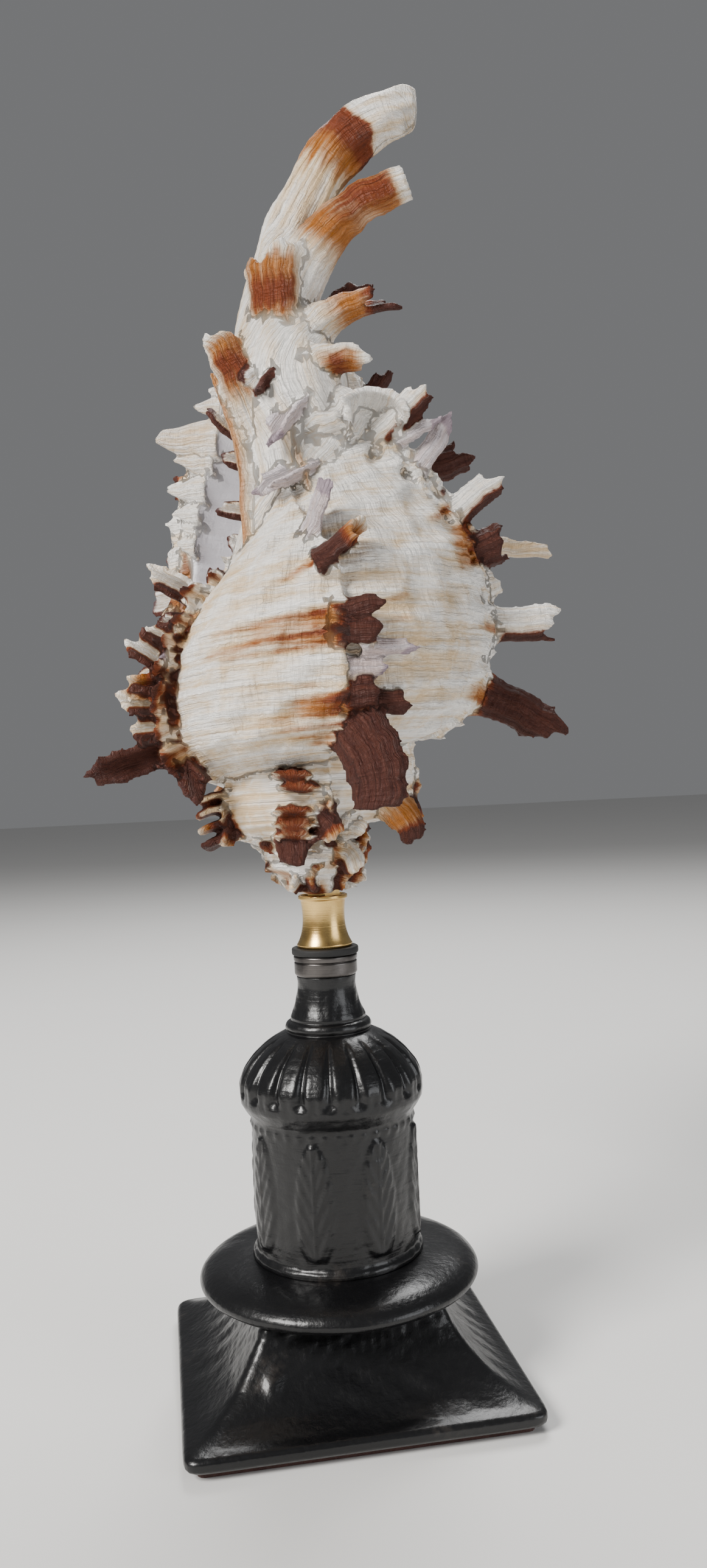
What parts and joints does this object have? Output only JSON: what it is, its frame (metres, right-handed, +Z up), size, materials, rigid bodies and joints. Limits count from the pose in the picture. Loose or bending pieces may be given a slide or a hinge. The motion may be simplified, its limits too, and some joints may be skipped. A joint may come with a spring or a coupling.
{
  "type": "murex shell on stand",
  "caption": "Large frilled murex shell with a curved canal, mounted apex down on a brass neck over a turned black stand with a fluted dome, ring and square base.",
  "frame": {"origin": "centre of the felt pad's underside, on the table", "axes": "+Z up along the stand's axis; the sides of the square base lie along X and Y, with the front at -Y"},
  "size_m": [0.0818, 0.0779, 0.2217],
  "materials": {
    "shell": "porcelain white, cream and orange-brown with dark chestnut fronds, satin",
    "brass": "polished",
    "rubber": "matt black",
    "gunmetal": "darkened, satin",
    "black_paint": "brushed black gloss",
    "felt": "red-brown felt",
    "steel": "zinc plated",
    "putty": "cured putty"
  },
  "bodies": {
    "root": {"murex_shell": "shell", "brass_neck": "brass", "brass_lock_nut": "brass", "seating_washer": "rubber", "collar": "gunmetal", "fluted_column": "black_paint", "ring_plinth": "black_paint", "square_base": "black_paint", "felt_pad": "felt", "centre_rod": "steel", "lower_washer": "steel", "lower_nut": "steel", "bedding_putty": "putty"}
  },
  "joints": []
}
